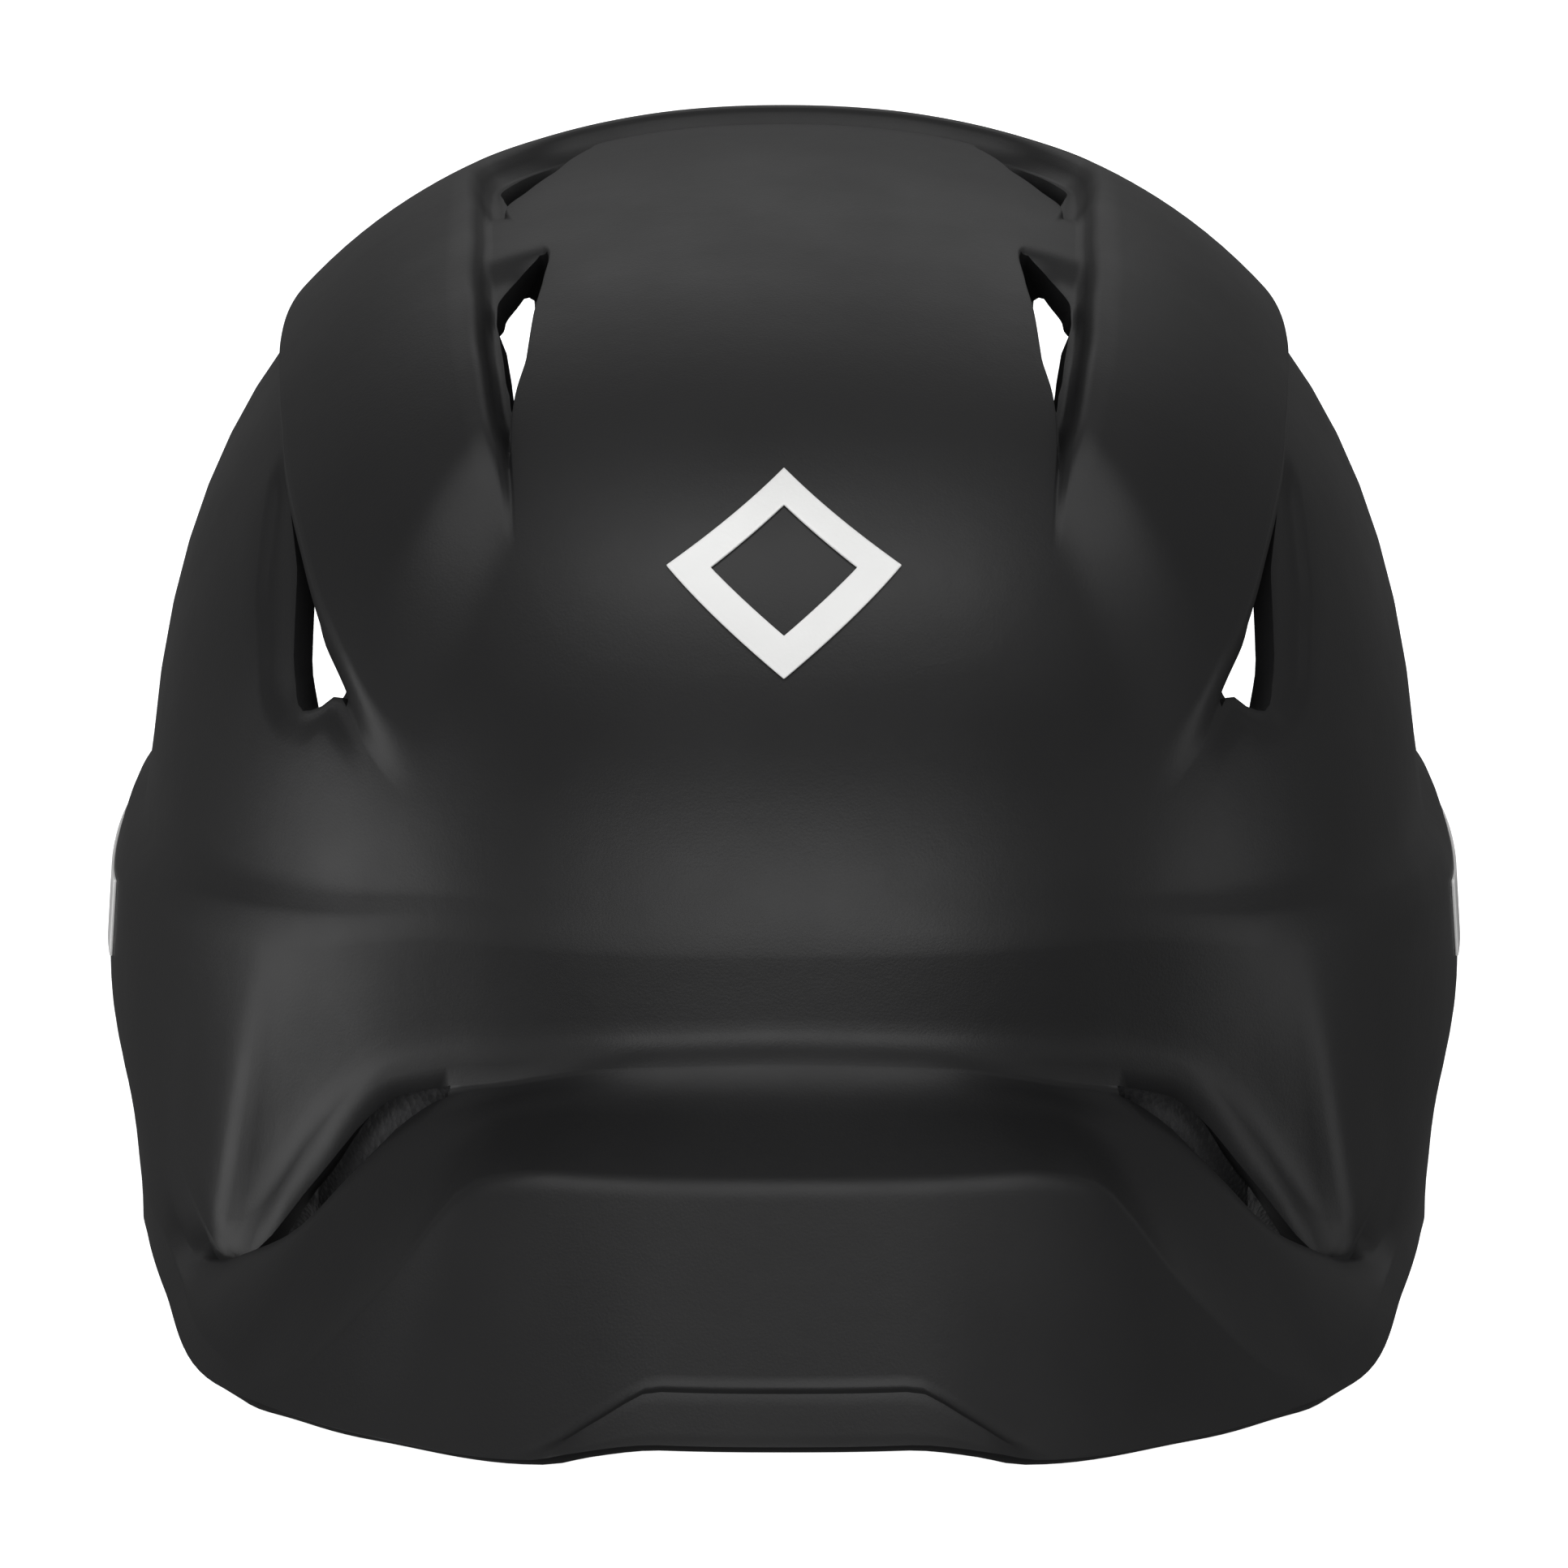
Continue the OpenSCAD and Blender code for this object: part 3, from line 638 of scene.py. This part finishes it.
def add_noise(tree, scale, detail=3.0, roughness=0.5):
    places = tree.nodes.new("ShaderNodeTexCoord")
    pattern = tree.nodes.new("ShaderNodeTexNoise")
    pattern.inputs["Scale"].default_value = scale
    pattern.inputs["Detail"].default_value = detail
    pattern.inputs["Roughness"].default_value = roughness
    tree.links.new(places.outputs["Object"], pattern.inputs["Vector"])
    return pattern.outputs["Fac"]


def spread(tree, value, low, high, from_low=0.3, from_high=0.7):
    """Stretches a pattern's middle range to the range low to high."""
    node = tree.nodes.new("ShaderNodeMapRange")
    node.inputs["From Min"].default_value = from_low
    node.inputs["From Max"].default_value = from_high
    node.inputs["To Min"].default_value = low
    node.inputs["To Max"].default_value = high
    tree.links.new(value, node.inputs["Value"])
    return node.outputs["Result"]


def add_bump(tree, shader, height, depth, under=None):
    node = tree.nodes.new("ShaderNodeBump")
    node.inputs["Distance"].default_value = depth
    node.inputs["Strength"].default_value = 1.0
    tree.links.new(height, node.inputs["Height"])
    if under is not None:
        tree.links.new(under, node.inputs["Normal"])
    tree.links.new(node.outputs["Normal"], shader.inputs["Normal"])
    return node.outputs["Normal"]


def two_colours(tree, shader, value, dark, light):
    node = tree.nodes.new("ShaderNodeMix")
    node.data_type = "RGBA"
    node.inputs["A"].default_value = (*dark, 1)
    node.inputs["B"].default_value = (*light, 1)
    tree.links.new(value, node.inputs["Factor"])
    tree.links.new(node.outputs["Result"], shader.inputs["Base Color"])


satin, tree, shader = node_material("satin_black_plastic")
two_colours(tree, shader, spread(tree, add_noise(tree, 28.0), 0, 1),
            (0.008, 0.008, 0.0084), (0.010, 0.010, 0.0104))
shader.inputs["Specular IOR Level"].default_value = 0.34
tree.links.new(spread(tree, add_noise(tree, 45.0, 4.0), 0.40, 0.47), shader.inputs["Roughness"])
waves = add_bump(tree, shader, add_noise(tree, 260.0, 2.0), 0.00003)
add_bump(tree, shader, add_noise(tree, 2600.0, 2.0), 0.00002, under=waves)
shell.data.materials.append(satin)
print("finish:", satin.name)

# %% [markdown]
# ## The stick-on marks
# The marks are vinyl: thin, white, a little glossier than the shell, and they follow its
# curve. Each starts as a flat outline, and its vertices are moved onto the shell's form,
# just clear of the surface. Solidify gives the film its thickness. The front mark is a
# plain open diamond.

# %% Vinyl
def vinyl(name, colour, grain):
    material, tree, shader = node_material(name)
    two_colours(tree, shader, spread(tree, add_noise(tree, 60.0), 0, 1),
                tuple(c * 0.94 for c in colour), colour)
    shader.inputs["Coat Weight"].default_value = 0.25
    shader.inputs["Coat Roughness"].default_value = 0.2
    tree.links.new(spread(tree, add_noise(tree, 90.0, 4.0), 0.3, 0.42),
                   shader.inputs["Roughness"])
    add_bump(tree, shader, add_noise(tree, grain, 2.0), 0.00002)
    return material


white_vinyl = vinyl("white_vinyl", (0.92, 0.92, 0.91), 1500.0)
grey_vinyl = vinyl("grey_vinyl", (0.30, 0.30, 0.31), 1500.0)
# The film's gap to the shell and its thickness
DECAL_GAP, DECAL_T = 0.03, 0.5


def finish_mark(name, bm, node, material):
    mark = add_piece(name, bm)
    film = mark.modifiers.new("film", "SOLIDIFY")
    film.thickness = DECAL_T * MM
    film.offset = 1
    edge = mark.modifiers.new("edge", "BEVEL")
    edge.width = 0.15 * MM
    edge.segments = 2
    edge.limit_method = "ANGLE"
    edge.angle_limit = math.radians(50)
    mark.data.materials.append(material)
    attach(mark, "root")
    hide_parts(node)
    print(name + ":", len(mark.data.polygons), "faces")
    return mark


def lay_on_shell(bm, place_of):
    """Moves a flat mesh onto the shell, just clear of it."""
    for vert in bm.verts:
        azimuth, t = place_of(vert.co)
        vert.co = skin(azimuth, t) + outward(azimuth, t) * DECAL_GAP * MM
    bmesh.ops.recalc_face_normals(bm, faces=bm.faces)
    face = max(bm.faces, key=lambda f: f.calc_area())
    middle = Vector((0, AXIS_Y, EAR_Z + 30 * MM))
    if face.normal.dot(face.calc_center_median() - middle) < 0:
        bmesh.ops.reverse_faces(bm, faces=bm.faces)


# %% The front mark: an open diamond
EMBLEM_T, EMBLEM_W, EMBLEM_LINE = 0.54, 34.0, 0.62


def front_mark():
    bm = bmesh.new()
    bmesh.ops.create_circle(bm, cap_ends=True, segments=4, radius=1.0)
    rim = (1 - EMBLEM_LINE) * math.sqrt(0.5)
    bmesh.ops.inset_region(bm, faces=bm.faces[:], thickness=rim, use_boundary=True,
                           use_even_offset=True)
    middle = min(bm.faces, key=lambda f: f.calc_center_median().length)
    bmesh.ops.delete(bm, geom=[middle], context="FACES_ONLY")
    bmesh.ops.subdivide_edges(bm, edges=bm.edges[:], cuts=11, use_grid_fill=True)
    centre = skin(0, EMBLEM_T)
    turn = math.degrees(EMBLEM_W / 2 * MM / abs(centre.y - AXIS_Y))
    drop = EMBLEM_W / 2 * MM / ((skin(0, EMBLEM_T + 0.25) - skin(0, EMBLEM_T - 0.25)).length * 2)
    lay_on_shell(bm, lambda p: (p.x * turn, EMBLEM_T - p.y * drop))
    return finish_mark("front_diamond", bm, "front_emblem", white_vinyl)


front_mark()


# %% The side marks and the rear label
def patch_mark(name, node, start, end, material, steps):
    bm = bmesh.new()
    bmesh.ops.create_grid(bm, x_segments=steps[0], y_segments=steps[1], size=0.5)
    lay_on_shell(bm, lambda p: (start[0] + (end[0] - start[0]) * (p.x + 0.5),
                                start[1] + (end[1] - start[1]) * (p.y + 0.5)))
    return finish_mark(name, bm, node, material)


patch_mark("side_mark_right", "side_decal_right", (77.5, 1.06), (98, 1.62),
           white_vinyl, (16, 10))
patch_mark("side_mark_left", "side_decal_left", (-98, 1.06), (-77.5, 1.62),
           white_vinyl, (16, 10))
patch_mark("rear_plate", "rear_label", (171, 1.25), (189, 2.6), grey_vinyl,
           (18, 14))

# %% [markdown]
# ## The foam pads
# The liner is die-cut foam with a soft cover. A pad bulges where nothing holds it, and its
# edges draw in, which is hard to draw by hand. So each pad starts as the solid model's
# pad, is remeshed in even squares, shrunk a little and blown up as cloth with a gentle
# pressure. Then every point is brought back inside the space that its solid holds, so that
# the pad lies against the shell and not in it. The stitched channels are pressed in last,
# because remeshing would lose them. The right pads are made first and mirrored.

# %% Blow the pads up as cloth
PADS = ["brow_pad", "crown_pad_front", "crown_pad_center", "crown_pad_rear",
        "upper_side_pad_right", "temple_pad_right", "rear_side_pad_right", "nape_pad",
        "ear_pad_right", "jaw_pad_right"]
# The remesh's squares, how far a pad is drawn in first, the furthest that the pressure may
# move a point, and how far a pad's middle may stand up towards the head
VOXEL, SHRINK, CAP, CROWN = 4.0 * MM, 1.2 * MM, 5.0 * MM, 1.8 * MM
head_middle = Vector((0, AXIS_Y, EAR_Z + 30 * MM))


def start_pad(node):
    """A closed, evenly meshed copy of a pad's solid, slightly smaller than it."""
    bm = bmesh.new()
    bm.from_mesh(frame["nodes"][node].data)
    bmesh.ops.remove_doubles(bm, verts=bm.verts, dist=0.01 * MM)
    bm.normal_update()
    solid = BVHTree.FromBMesh(bm)
    pad = add_piece(node.replace("_right", "") + "_cushion", bm)
    remesh = pad.modifiers.new("remesh", "REMESH")
    remesh.mode = "VOXEL"
    remesh.voxel_size = VOXEL
    bpy.context.view_layer.update()
    made = bpy.data.meshes.new_from_object(
        pad.evaluated_get(bpy.context.evaluated_depsgraph_get()))
    pad.modifiers.clear()
    pad.data = made
    bm = bmesh.new()
    bm.from_mesh(made)
    for _ in range(3):
        bmesh.ops.smooth_vert(bm, verts=bm.verts, factor=0.5, use_axis_x=True,
                              use_axis_y=True, use_axis_z=True)
    bm.normal_update()
    for vert in bm.verts:
        vert.co -= vert.normal * SHRINK
    bm.to_mesh(made)
    bm.free()
    return pad, solid


def inflate(pads, frames=20):
    """Blows the pads up together, as cloth under pressure without gravity."""
    starts = {}
    for pad in pads:
        starts[pad.name] = [v.co.copy() for v in pad.data.vertices]
        cloth = pad.modifiers.new("cloth", "CLOTH")
        cloth.settings.use_pressure = True
        cloth.settings.uniform_pressure_force = 4.0
        cloth.settings.effector_weights.gravity = 0
        cloth.settings.quality = 4
        cloth.settings.tension_stiffness = 15
        cloth.settings.compression_stiffness = 15
        cloth.settings.bending_stiffness = 0.5
        cloth.collision_settings.use_collision = False
    scene = bpy.context.scene
    for number in range(1, frames + 1):
        scene.frame_set(number)
    depsgraph = bpy.context.evaluated_depsgraph_get()
    for pad in pads:
        blown = [v.co.copy() for v in pad.evaluated_get(depsgraph).data.vertices]
        pad.modifiers.clear()
        for vert, before, after in zip(pad.data.vertices, starts[pad.name], blown):
            move = after - before
            vert.co = before + move * min(1.0, CAP / max(move.length, 1e-9))
    scene.frame_set(1)


def bring_inside(pad, solid, crown):
    """Points outside the solid come back to it, or stand up to crown towards the head."""
    for vert in pad.data.vertices:
        spot, normal, _, _ = solid.find_nearest(vert.co)
        out = (vert.co - spot).dot(normal)
        to_head = (head_middle - spot).normalized()
        room = crown * max(0.0, normal.dot(to_head)) ** 2 - 0.1 * MM
        if out > room:
            vert.co = spot + normal * room


pads, solids = {}, {}
for node in PADS:
    pads[node], solids[node] = start_pad(node)
inflate(list(pads.values()))
for node, pad in pads.items():
    # The sweatband lies on the brow pad, so that pad gets no crown
    bring_inside(pad, solids[node], 0.0 if node == "brow_pad" else CROWN)
print("pads:", {n: len(p.data.polygons) for n, p in pads.items()})


# %% Press the stitched channels in and finish the pads
def press_channels(pad, planes, depth=1.6 * MM, width=2.2 * MM):
    """Sinks the head side of a pad along planes, given as (point, direction)."""
    bm = bmesh.new()
    bm.from_mesh(pad.data)
    bmesh.ops.subdivide_edges(bm, edges=bm.edges, cuts=1, use_grid_fill=True, smooth=0.6)
    bm.normal_update()
    for vert in bm.verts:
        to_head = (head_middle - vert.co).normalized()
        facing = ease(0.2, 0.7, vert.normal.dot(to_head))
        sink = max((math.exp(-((vert.co - point).dot(direction) / width) ** 2)
                    for point, direction in planes), default=0.0)
        vert.co += -to_head * (depth * sink * facing)
    bm.to_mesh(pad.data)
    bm.free()


def pad_planes(pad, directions):
    """Planes through a pad's middle, or offset from it, across the given directions."""
    middle = sum((v.co for v in pad.data.vertices), Vector()) / len(pad.data.vertices)
    return [(middle + direction * offset * MM, direction)
            for direction, offset in directions]


X_WAY, Y_WAY, Z_WAY = Vector((1, 0, 0)), Vector((0, 1, 0)), Vector((0, 0, 1))
CHANNELS = {
    "brow_pad": [(X_WAY, -34), (X_WAY, -12), (X_WAY, 12), (X_WAY, 34)],
    "crown_pad_front": [(X_WAY, -12), (X_WAY, 12)],
    "crown_pad_center": [(X_WAY, 0), (Y_WAY, 0)],
    "crown_pad_rear": [(X_WAY, -14), (X_WAY, 14)],
    "upper_side_pad_right": [(Y_WAY, -12), (Y_WAY, 12)],
    "temple_pad_right": [(Z_WAY, -11), (Z_WAY, 11)],
    "rear_side_pad_right": [(Z_WAY, -12), (Z_WAY, 12)],
    "nape_pad": [(X_WAY, -22), (X_WAY, 22)],
    "ear_pad_right": [],
    "jaw_pad_right": [(Y_WAY, 0)]}

for node, pad in pads.items():
    press_channels(pad, pad_planes(pad, CHANNELS[node]))
print("stitched channels:", sum(len(lines) for lines in CHANNELS.values()))

# %% [markdown]
# ## The liner's finish
# The pads are charcoal foam with a knitted cover. Its thread is finer than a millimetre,
# so it is drawn as a pattern and not as a mesh: two sets of fine waves for the knit, and a
# slow noise for the places where the cover is rubbed.

# %% Knitted cover
def knit(name, dark, light, pitch, depth):
    material, tree, shader = node_material(name)
    places = tree.nodes.new("ShaderNodeTexCoord").outputs["Object"]
    two_colours(tree, shader, spread(tree, add_noise(tree, 70.0, 4.0), 0, 1), dark, light)
    shader.inputs["Roughness"].default_value = 0.85
    shader.inputs["Sheen Weight"].default_value = 0.12
    shader.inputs["Sheen Roughness"].default_value = 0.5
    cells = tree.nodes.new("ShaderNodeTexVoronoi")
    cells.inputs["Scale"].default_value = 1 / (pitch * MM)
    tree.links.new(places, cells.inputs["Vector"])
    first = add_bump(tree, shader, cells.outputs["Distance"], depth * MM)
    add_bump(tree, shader, add_noise(tree, 1800.0, 2.0), 0.0001, under=first)
    return material


pad_cover = knit("pad_cover", (0.007, 0.007, 0.008), (0.013, 0.013, 0.014), 1.1, 0.35)


def mirrored(piece, name):
    bm = bmesh.new()
    bm.from_mesh(piece.data)
    bmesh.ops.scale(bm, vec=(-1, 1, 1), verts=bm.verts)
    bmesh.ops.reverse_faces(bm, faces=bm.faces)
    return add_piece(name, bm)


def finish_pad(pad, node):
    for polygon in pad.data.polygons:
        polygon.use_smooth = True
    pad.data.materials.clear()
    pad.data.materials.append(pad_cover)
    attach(pad, "root")
    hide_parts(node)


for node, pad in pads.items():
    if node.endswith("_right"):
        name = node[:-6] + "_cushion"
        pad.name = name + "_right"
        twin = mirrored(pad, name + "_left")
        finish_pad(twin, node[:-6] + "_left")
    finish_pad(pad, node)

# %% [markdown]
# ## The sweatband
# A towelling band covers the brow pad, where the helmet touches the forehead. It is a
# strip bent round the pad's face, so it is a grid laid along the form at the right depth
# and given its thickness. Its loops are a weave on its own UV map, which follows the bend.

# %% Sweatband
BAND_T, FOAM_T, SOFT_GAP = 1.6, 14.0, 0.5
# The band's middle lies behind the wall, a gap, the foam, another gap and half of itself
BAND_DEPTH = WALL + SOFT_GAP + FOAM_T + SOFT_GAP + BAND_T / 2
# The band's angle round the head, and its middle and height as t
BAND_ARC, BAND_MIDDLE, BAND_HEIGHT = 72, 1.33, 0.94


def sweatband():
    bm = bmesh.new()
    bmesh.ops.create_grid(bm, x_segments=60, y_segments=16, size=0.5, calc_uvs=True)
    for vert in bm.verts:
        azimuth, t = BAND_ARC * vert.co.x, BAND_MIDDLE - BAND_HEIGHT * vert.co.y
        vert.co = skin(azimuth, t) - outward(azimuth, t) * BAND_DEPTH * MM
    bmesh.ops.recalc_face_normals(bm, faces=bm.faces)
    band = add_piece("towelling_sweatband", bm)
    body = band.modifiers.new("body", "SOLIDIFY")
    body.thickness = (BAND_T - 0.2) * MM
    body.offset = 0
    rounding = band.modifiers.new("rounding", "SUBSURF")
    rounding.levels = rounding.render_levels = 1
    return band


def towelling(name, colour):
    material, tree, shader = node_material(name)
    uv = tree.nodes.new("ShaderNodeUVMap")
    scale = tree.nodes.new("ShaderNodeMapping")
    scale.inputs["Scale"].default_value = (110, 34, 1)
    tree.links.new(uv.outputs["UV"], scale.inputs["Vector"])
    two_colours(tree, shader, spread(tree, add_noise(tree, 90.0, 4.0), 0, 1),
                tuple(c * 0.7 for c in colour), colour)
    shader.inputs["Roughness"].default_value = 0.95
    shader.inputs["Sheen Weight"].default_value = 0.5
    loops = tree.nodes.new("ShaderNodeTexVoronoi")
    loops.inputs["Scale"].default_value = 1.0
    tree.links.new(scale.outputs["Vector"], loops.inputs["Vector"])
    first = add_bump(tree, shader, loops.outputs["Distance"], 0.0006)
    add_bump(tree, shader, add_noise(tree, 2200.0, 2.0), 0.0002, under=first)
    return material


band = sweatband()
band.data.materials.append(towelling("towelling", (0.03, 0.03, 0.032)))
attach(band, "root")
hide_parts("sweatband")
print("sweatband:", len(band.data.polygons), "faces")

# %% [markdown]
# ## The metal parts
# The threaded inserts, the snap studs and their washers are small turned parts whose solid
# models already have the right shape. They keep those shapes and get a nickel finish:
# bright, with fine turning marks that show as uneven gloss.

# %% Nickel plate
def plate(name, colour, low, high):
    material, tree, shader = node_material(name)
    two_colours(tree, shader, spread(tree, add_noise(tree, 400.0), 0, 1),
                tuple(c * 0.85 for c in colour), colour)
    shader.inputs["Metallic"].default_value = 1.0
    tree.links.new(spread(tree, add_noise(tree, 900.0, 4.0), low, high),
                   shader.inputs["Roughness"])
    add_bump(tree, shader, add_noise(tree, 3000.0, 2.0), 0.00001)
    return material


metals = {"insert_plate": (("jaw_guard_inserts",), (0.62, 0.60, 0.55), 0.25, 0.4),
          "snap_plate": (("chin_snap_left", "chin_snap_right", "chin_snap_washers"),
                         (0.45, 0.45, 0.46), 0.2, 0.35)}
for name, (nodes, colour, low, high) in metals.items():
    material = plate(name, colour, low, high)
    for node in nodes:
        for slot in frame["nodes"][node].material_slots:
            slot.material = material
print("metal parts:", sum(len(m[0]) for m in metals.values()))
